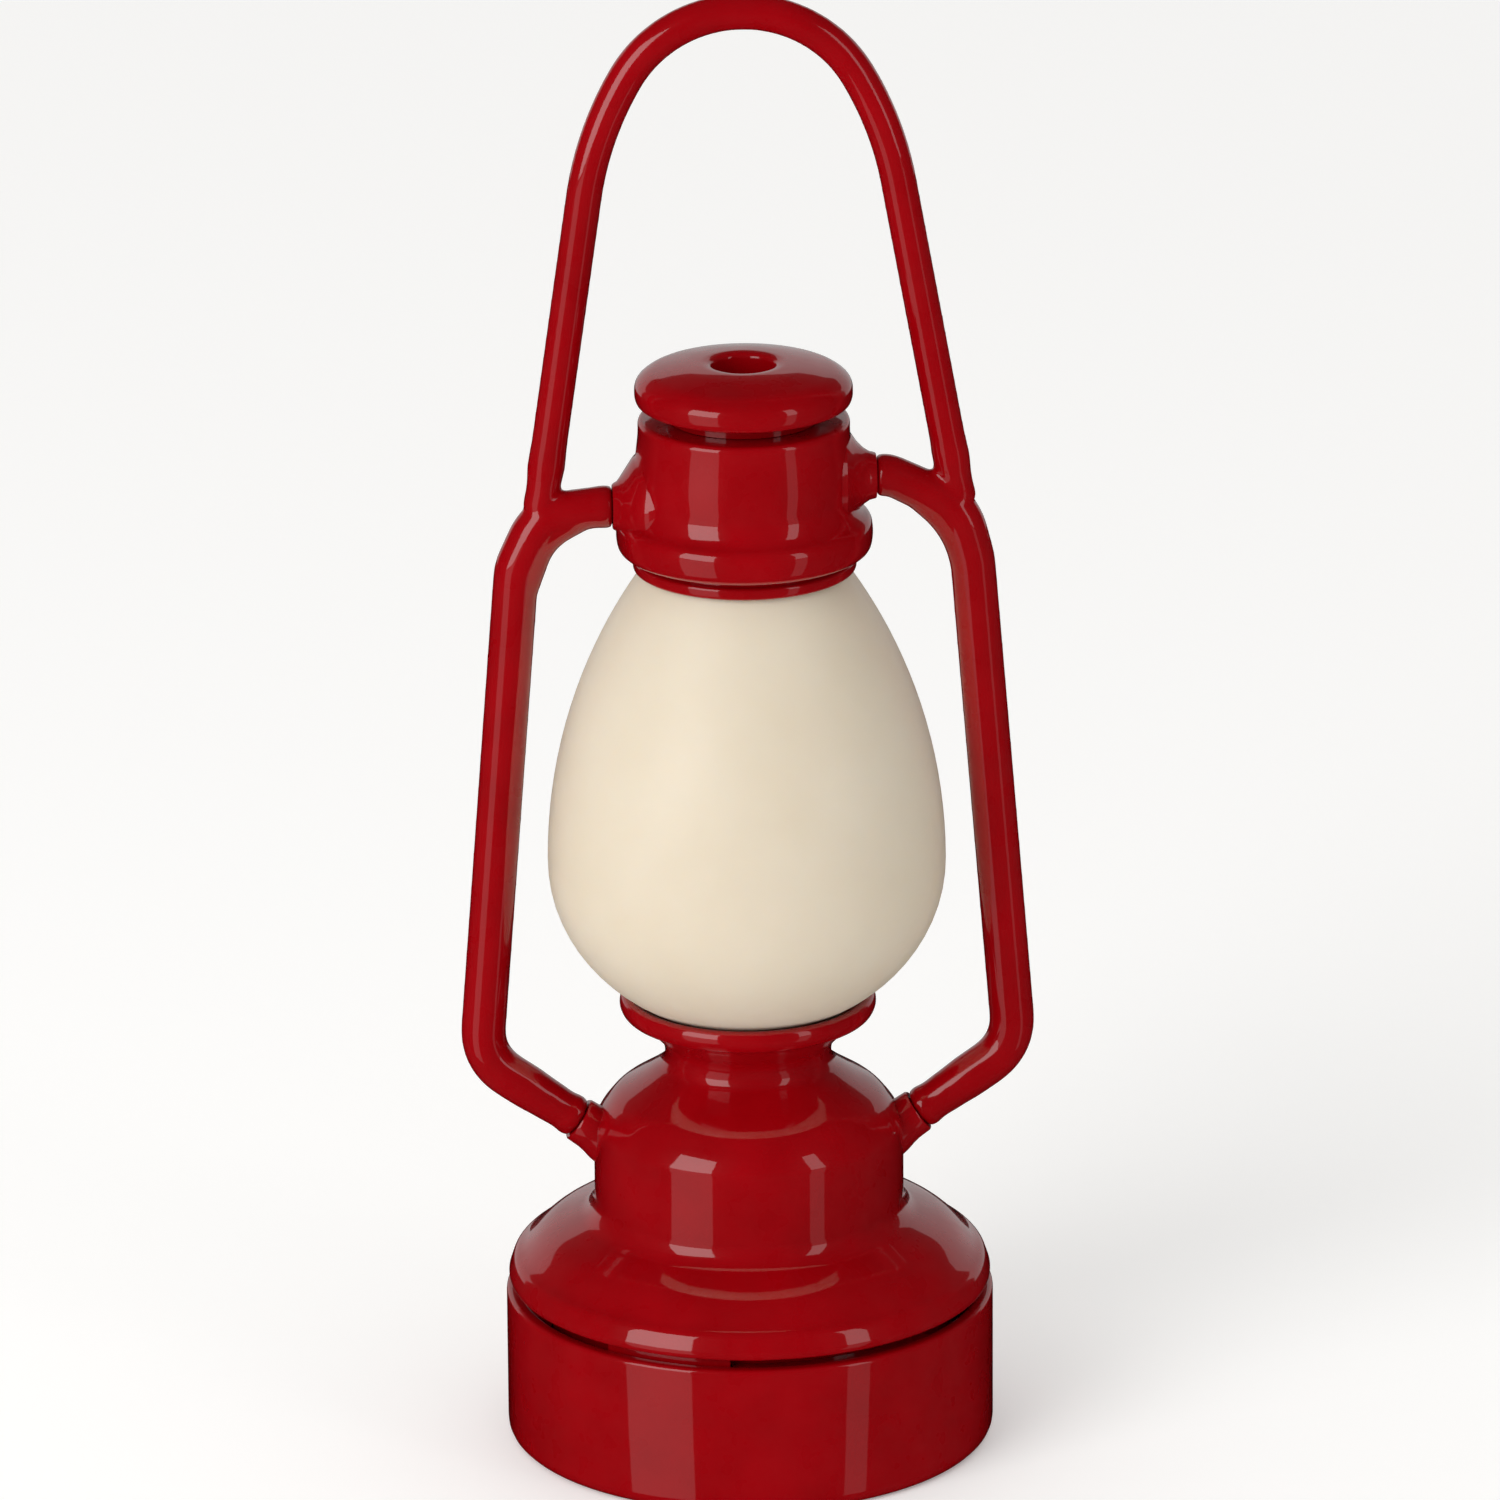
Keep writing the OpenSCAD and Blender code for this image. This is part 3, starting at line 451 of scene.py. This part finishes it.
for side, height in hood_sockets.items():
    foot_x = leg_at(leans[side], feet_z)[0]
    corners = [(socket_face + 0.03, height, 0), (socket_face + 0.75, height, 0.5),
               (foot_x + 0.1, top_corner_z, 1.45), (*arm_corner, 0.5), (*elbow_corner, 1.85),
               (fount_socket[0] + 0.02, fount_socket[1] + 0.02, 0)]
    bar_path = spaced([(side * x, z) for x, z in softened(corners, steps=9)])
    bars.append(drawn_bar("side_bar", bar_path, profiled(bar_path, bar_r, bead, foot_bead)))
    web = [(8.4, height - 0.15, 0), (foot_x + 0.2, 50.7, 3.2), (*web_foot, 0)]
    web_path = spaced([(side * x, z) for x, z in softened(web, steps=9)])
    bars.append(drawn_bar("web", web_path, [web_r] * len(web_path)))
    pegs = [((socket_face - 1.1, height), (socket_face + 0.5, height)),
            tuple((fount_socket[0] + d * down[0], fount_socket[1] + d * down[1]) for d in (-1.1, 0.5))]
    for inner, outer in pegs:
        peg_path = [(side * inner[0], inner[1]), (side * outer[0], outer[1])]
        bars.append(drawn_bar("peg", peg_path, [peg_r, peg_r]))
deselect_all()
for bar in bars:
    bar.select_set(True)
bpy.context.view_layer.objects.active = bars[0]
bpy.ops.object.join()
frame_piece = bpy.context.object
weld = frame_piece.modifiers.new("weld", "REMESH")
weld.mode = "VOXEL"
weld.voxel_size = 0.15
bpy.ops.object.modifier_apply(modifier=weld.name)
fillet = frame_piece.modifiers.new("fillet", "SMOOTH")
fillet.factor = 0.5
fillet.iterations = 10
bpy.ops.object.modifier_apply(modifier=fillet.name)
settle([frame_piece], "carrying_frame_casting", "lantern", lacquer,
       ["carrying_frame"], sharp=80)


# The fount. One hollow casting: collar, neck, sloping shoulder, drum and dome, with a skirt
# inside the cup. The skirt has a groove for the retaining ring and three lugs that stop the
# cup's turn. Two sockets on the shoulder take the lower pegs of the carrying frame.
dome_r, dome_z, drum_r, drum_z, shoulder_z = 12.98, 8.7, 8.3, 12.6, 17.6
neck_r, neck_z, rim_z, rim_r = 4.45, 20.6, 24.9, 6.9
skirt_r, skirt_z, wall = 11.35, 4.6, 1.0
groove_z, groove_h, groove_depth = 5.27, 0.51, 0.4
fount_corners = [
    (skirt_r - wall, skirt_z, 0.1), (skirt_r, skirt_z, 0.2), (skirt_r, groove_z, 0.02),
    (skirt_r - groove_depth, groove_z, 0), (skirt_r - groove_depth, groove_z + groove_h, 0),
    (skirt_r, groove_z + groove_h, 0.02), (skirt_r, dome_z, 0.1), (dome_r - 0.1, dome_z, 0.15),
    (dome_r, dome_z + 0.35, 0.4), (dome_r - 0.32, dome_z + 1.3, 0.6), (12.15, 10.3, 0.9),
    (10.95, 11.48, 0.9), (8.8, 12.35, 0.6),
    (drum_r, drum_z + 0.45, 0.5), (drum_r, shoulder_z - 0.1, 0.3), (drum_r - 0.35, shoulder_z + 0.6, 0.4),
    (7.2, 19.15, 0.5), (neck_r + 1.1, neck_z - 0.4, 0.5), (neck_r, neck_z + 0.45, 0.6), (neck_r, 22.1, 0.7),
    (rim_r - 1.1, rim_z - 1.4, 0.6), (rim_r - 0.25, rim_z - 1.15, 0.35), (rim_r, rim_z - 0.6, 0.4),
    (rim_r - 0.15, rim_z - 0.05, 0.25), (rim_r - 0.5, rim_z, 0.1), (4.75, 24.2, 0.1), (4.63, 23.1, 0),
    (3.45, 23.1, 0), (3.45, 19.9, 0.3), (7.3, 16.8, 0.4), (7.3, 11.7, 0.4), (10.35, 9.0, 0.3)]
turned_fount = turned("fount_body", softened(fount_corners, closed=True), closed=True)


# A block between two radii and two heights, which runs round the axis from an angle.
def arc_block(name, inner, outer, low, high, start, sweep, steps=14):
    deselect_all()
    bpy.ops.mesh.primitive_plane_add(size=1, location=(0, 0, 0))
    block = bpy.context.object
    block.name = name
    bpy.ops.object.mode_set(mode="EDIT")
    bpy.ops.mesh.select_all(action="SELECT")
    bpy.ops.object.mode_set(mode="OBJECT")
    middle = [(inner + outer) / 2, (low + high) / 2]
    turn_in = math.radians(start)
    for vertex in block.data.vertices:
        along, up = vertex.co.x * (outer - inner) + middle[0], vertex.co.y * (high - low) + middle[1]
        vertex.co = (along * math.cos(turn_in), along * math.sin(turn_in), up)
    bpy.ops.object.mode_set(mode="EDIT")
    bpy.ops.mesh.select_all(action="SELECT")
    bpy.ops.mesh.spin(steps=steps, angle=math.radians(sweep), center=(0, 0, 0), axis=(0, 0, -1))
    bpy.ops.mesh.select_all(action="DESELECT")
    bpy.ops.mesh.select_non_manifold(extend=False)
    bpy.ops.mesh.fill_holes(sides=0)
    bpy.ops.mesh.select_all(action="SELECT")
    bpy.ops.mesh.remove_doubles(threshold=0.0005)
    bpy.ops.mesh.normals_make_consistent(inside=False)
    bpy.ops.object.mode_set(mode="OBJECT")
    return block


lug_start, lug_turn, lug_low, lug_count = 229, 33, 7.3, 3
lug_r = skirt_r + 0.9
turn_apart = 360 / lug_count
for i in range(lug_count):
    lug = arc_block("lug", skirt_r - 0.2, lug_r, lug_low, dome_z + 0.1, lug_start + i * turn_apart, lug_turn)
    combine(turned_fount, lug, "UNION")
fount_outline = [(1.55, -2.4), (1.45, -1.7), (1.32, -1.2), (1.25, -0.8), (1.22, -0.1), (1.15, 0)]
peg_outline = [(peg_hole_r, -1.2), (peg_hole_r, 1)]
for side in (-1, 1):
    place = (side * fount_socket[0], 0, fount_socket[1])
    socket = laid(turned("socket", fount_outline, sides=64), side * fount_tip, place)
    combine(turned_fount, socket, "UNION")
    hole = laid(turned("hole", peg_outline, sides=48), side * fount_tip, place)
    combine(turned_fount, hole, "DIFFERENCE")
settle([turned_fount], "fount_casting", "lantern", lacquer, ["fount"])


# The base cup. A shallow cup with a rolled bottom edge, which stands on its ring-shaped foot.
# Three blocks inside its wall meet the fount's lugs, and three pillars take the screws.
cup_r, cup_h, cup_wall, foot_bore, floor_h = 13.1, 8.2, 0.75, 11.0, 1.3
cup_corners = [
    (foot_bore, 0, 0.12), (cup_r, 0, 0.75), (cup_r, cup_h, 0.28), (cup_r - cup_wall, cup_h, 0.2),
    (cup_r - cup_wall, floor_h, 0.3), (foot_bore, floor_h, 0.12)]
cup = turned("cup_wall", softened(cup_corners, closed=True), closed=True)
block_start, block_turn, block_low, block_top = 262.3, 56.4, 5.85, 8.0
pillar_at, pillar_r, pillar_low, pillar_top, pillar_root = 10.1, 1.85, 2.65, 4.2, 1.07
pillar_outline = [(pillar_r, pillar_low), (pillar_r, pillar_top)]
screw_outline = [(0.48, 1), (0.48, pillar_top - 0.15)]
for i in range(lug_count):
    start = block_start + i * turn_apart
    block = arc_block(
        "block", skirt_r + 0.1, cup_r - cup_wall + 0.1, block_low, block_top, start, block_turn)
    combine(cup, block, "UNION")
    angle = math.radians(30 + i * turn_apart)
    place = (pillar_at * math.cos(angle), pillar_at * math.sin(angle), 0)
    root = tuple(pillar_root * v for v in place)
    combine(cup, laid(turned("pillar", pillar_outline, sides=48), 0, root), "UNION")
    combine(cup, laid(turned("screw_hole", screw_outline, sides=32), 0, place), "DIFFERENCE")


# A tongue of the battery cover, or with some slack the slot in the foot that it goes into.
def tongue(angle, slack):
    deselect_all()
    long, across, thick = 1.7 + slack, 3 + 2 * slack, 0.5 + 2 * slack
    bpy.ops.mesh.primitive_cube_add(
        size=1, location=(9.9 + long / 2, 0, 0.95), scale=(long, across, thick))
    bar = bpy.context.object
    bpy.ops.object.transform_apply(location=True, rotation=True, scale=True)
    bar.rotation_euler = (0, 0, math.radians(angle))
    bpy.ops.object.transform_apply(location=True, rotation=True, scale=True)
    return bar


tongue_angles = (70, 110)
for angle in tongue_angles:
    combine(cup, tongue(angle, 0.1), "DIFFERENCE")
settle([cup], "base_cup_casting", "base", lacquer, ["base_cup"])


# The battery cover. A lacquered disc let into the foot, held by two tongues and one screw,
# with a ring pressed into it that stiffens it.
cover_r, cover_low, cover_top, screw_at = 10.9, 0.3, 1.2, 7.2
cover_corners = [
    (0.05, cover_low, 0), (4.2, cover_low, 0.2), (4.5, cover_low + 0.2, 0.1), (5.1, cover_low + 0.2, 0.1),
    (5.4, cover_low, 0.2), (cover_r, cover_low, 0.2), (cover_r, cover_top, 0.15), (0.05, cover_top, 0)]
cover = turned("cover_disc", softened(cover_corners))
for angle in tongue_angles:
    combine(cover, tongue(angle, 0), "UNION")
for hole in ([(1.1, -1), (1.1, 0.8)], [(0.53, 0), (0.53, 2)]):
    combine(cover, laid(turned("screw_hole", hole, sides=48), 0, (0, -screw_at, 0)), "DIFFERENCE")
settle([cover], "battery_cover_casting", "base", lacquer, ["battery_cover"])


# The bought-in and moulded parts inside keep their shapes, and each gets its own finish.
def finish_nodes(material, *names):
    for name in names:
        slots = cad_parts[name].data.materials
        slots.clear()
        slots.append(material)


def speckled(name, dark, light, size_mm, rough, **sockets):
    material, tree, shader = new_material(name)
    vector = coordinates(tree)
    tone = ramp(tree, noise(tree, vector, size_mm, 3.0), [(0.32, to_linear(dark)), (0.68, to_linear(light))])
    tree.links.new(tone, shader.inputs["Base Color"])
    low, high = rough
    sheen = ramp(tree, noise(tree, vector, size_mm / 3), [(0.3, grey(low)), (0.7, grey(high))])
    tree.links.new(sheen, shader.inputs["Roughness"])
    set_sockets(shader, **sockets)
    return material, tree, shader, vector


# Screws, cells and the retaining ring are nickel-plated steel, tumbled, so a soft grey shine
nickel, tree, shader, vector = speckled(
    "tumbled_nickel_plate", "#A7A39B", "#C2BEB6", 0.9, (0.22, 0.34), Metallic=1.0)
bumped(tree, shader, noise(tree, vector, 0.25), 0.004)
finish_nodes(nickel, "retaining_ring", "board_screws", "carrier_screws", "cover_screw",
             "cell_1", "cell_2", "cell_3")

# The LED's legs and the solder on them are tin, drawn and dull, with a frosty cast skin
tin, tree, shader, vector = speckled("tinned_solder", "#8E8F8E", "#B4B5B3", 0.5, (0.3, 0.5), Metallic=1.0)
bumped(tree, shader, noise(tree, vector, 0.2), 0.008)
finish_nodes(tin, "led_leads", "solder_joints")

# Spring brass, rolled bright and gone a little brown where fingers and flux touched it
brass, tree, shader, vector = speckled(
    "rolled_spring_brass", "#A9823C", "#D4AC5C", 1.2, (0.18, 0.36), Metallic=1.0)
bumped(tree, shader, noise(tree, vector, 0.3), 0.003)
finish_nodes(brass, "anode_spring", "wiper_strip")

# The board's contact track is bare copper foil, etched, so its face has a fine matte tooth
copper, tree, shader, vector = speckled(
    "etched_copper_foil", "#A9603C", "#CB8560", 0.7, (0.3, 0.45), Metallic=1.0)
bumped(tree, shader, noise(tree, vector, 0.12), 0.003)
finish_nodes(copper, "contact_track")

# The carrier and the LED holder are moulded ABS with a spark-eroded tool skin
abs_plastic, tree, shader, vector = speckled(
    "moulded_white_abs", "#DEDDD7", "#ECEBE6", 3.0, (0.38, 0.5), IOR=1.53)
bumped(tree, shader, noise(tree, vector, 0.15, 1.0), 0.006)
finish_nodes(abs_plastic, "led_holder", "battery_carrier")

# The LED's lens is cast clear epoxy, a trace milky
epoxy, tree, shader, vector = speckled(
    "cast_clear_epoxy", "#EFEBDD", "#F8F5EA", 2.0, (0.03, 0.07), IOR=1.54, Transmission_Weight=0.85)
finish_nodes(epoxy, "led")

# The resistor is a glazed black ceramic chip with tinned ends
chip, tree, shader, vector = speckled(
    "glazed_resistor_chip", "#141414", "#202020", 0.4, (0.25, 0.4), IOR=1.6)
bumped(tree, shader, noise(tree, vector, 0.2), 0.004)
finish_nodes(chip, "resistor")

# The pad under the cells is closed-cell foam rubber, with cells a fifth of a millimetre wide
foam, tree, shader, vector = speckled("closed_cell_foam", "#121213", "#242426", 0.6, (0.85, 0.97))
cells = add_node(tree, "ShaderNodeTexVoronoi", [(vector, "Vector")])
set_sockets(cells, Scale=1 / 0.2)
bumped(tree, shader, cells.outputs["Distance"], 0.05)
finish_nodes(foam, "pressure_pad")

# The board is glass cloth in green epoxy: the cloth's threads, 0.35 mm apart, just show
glass_board, tree, shader, vector = speckled(
    "glass_epoxy_board", "#14532A", "#1E6B38", 2.5, (0.25, 0.35), IOR=1.55)
threads = []
for direction in ("X", "Y"):
    weave = add_node(tree, "ShaderNodeTexWave", [(vector, "Vector")], bands_direction=direction)
    set_sockets(weave, Scale=math.pi / (10 * 0.35), Distortion=0.4)
    threads.append(weave.outputs["Fac"])
cloth = add_node(tree, "ShaderNodeMath", [(threads[0], 0), (threads[1], 1)], operation="MULTIPLY")
bumped(tree, shader, cloth.outputs["Value"], 0.02)
finish_nodes(glass_board, "circuit_board")
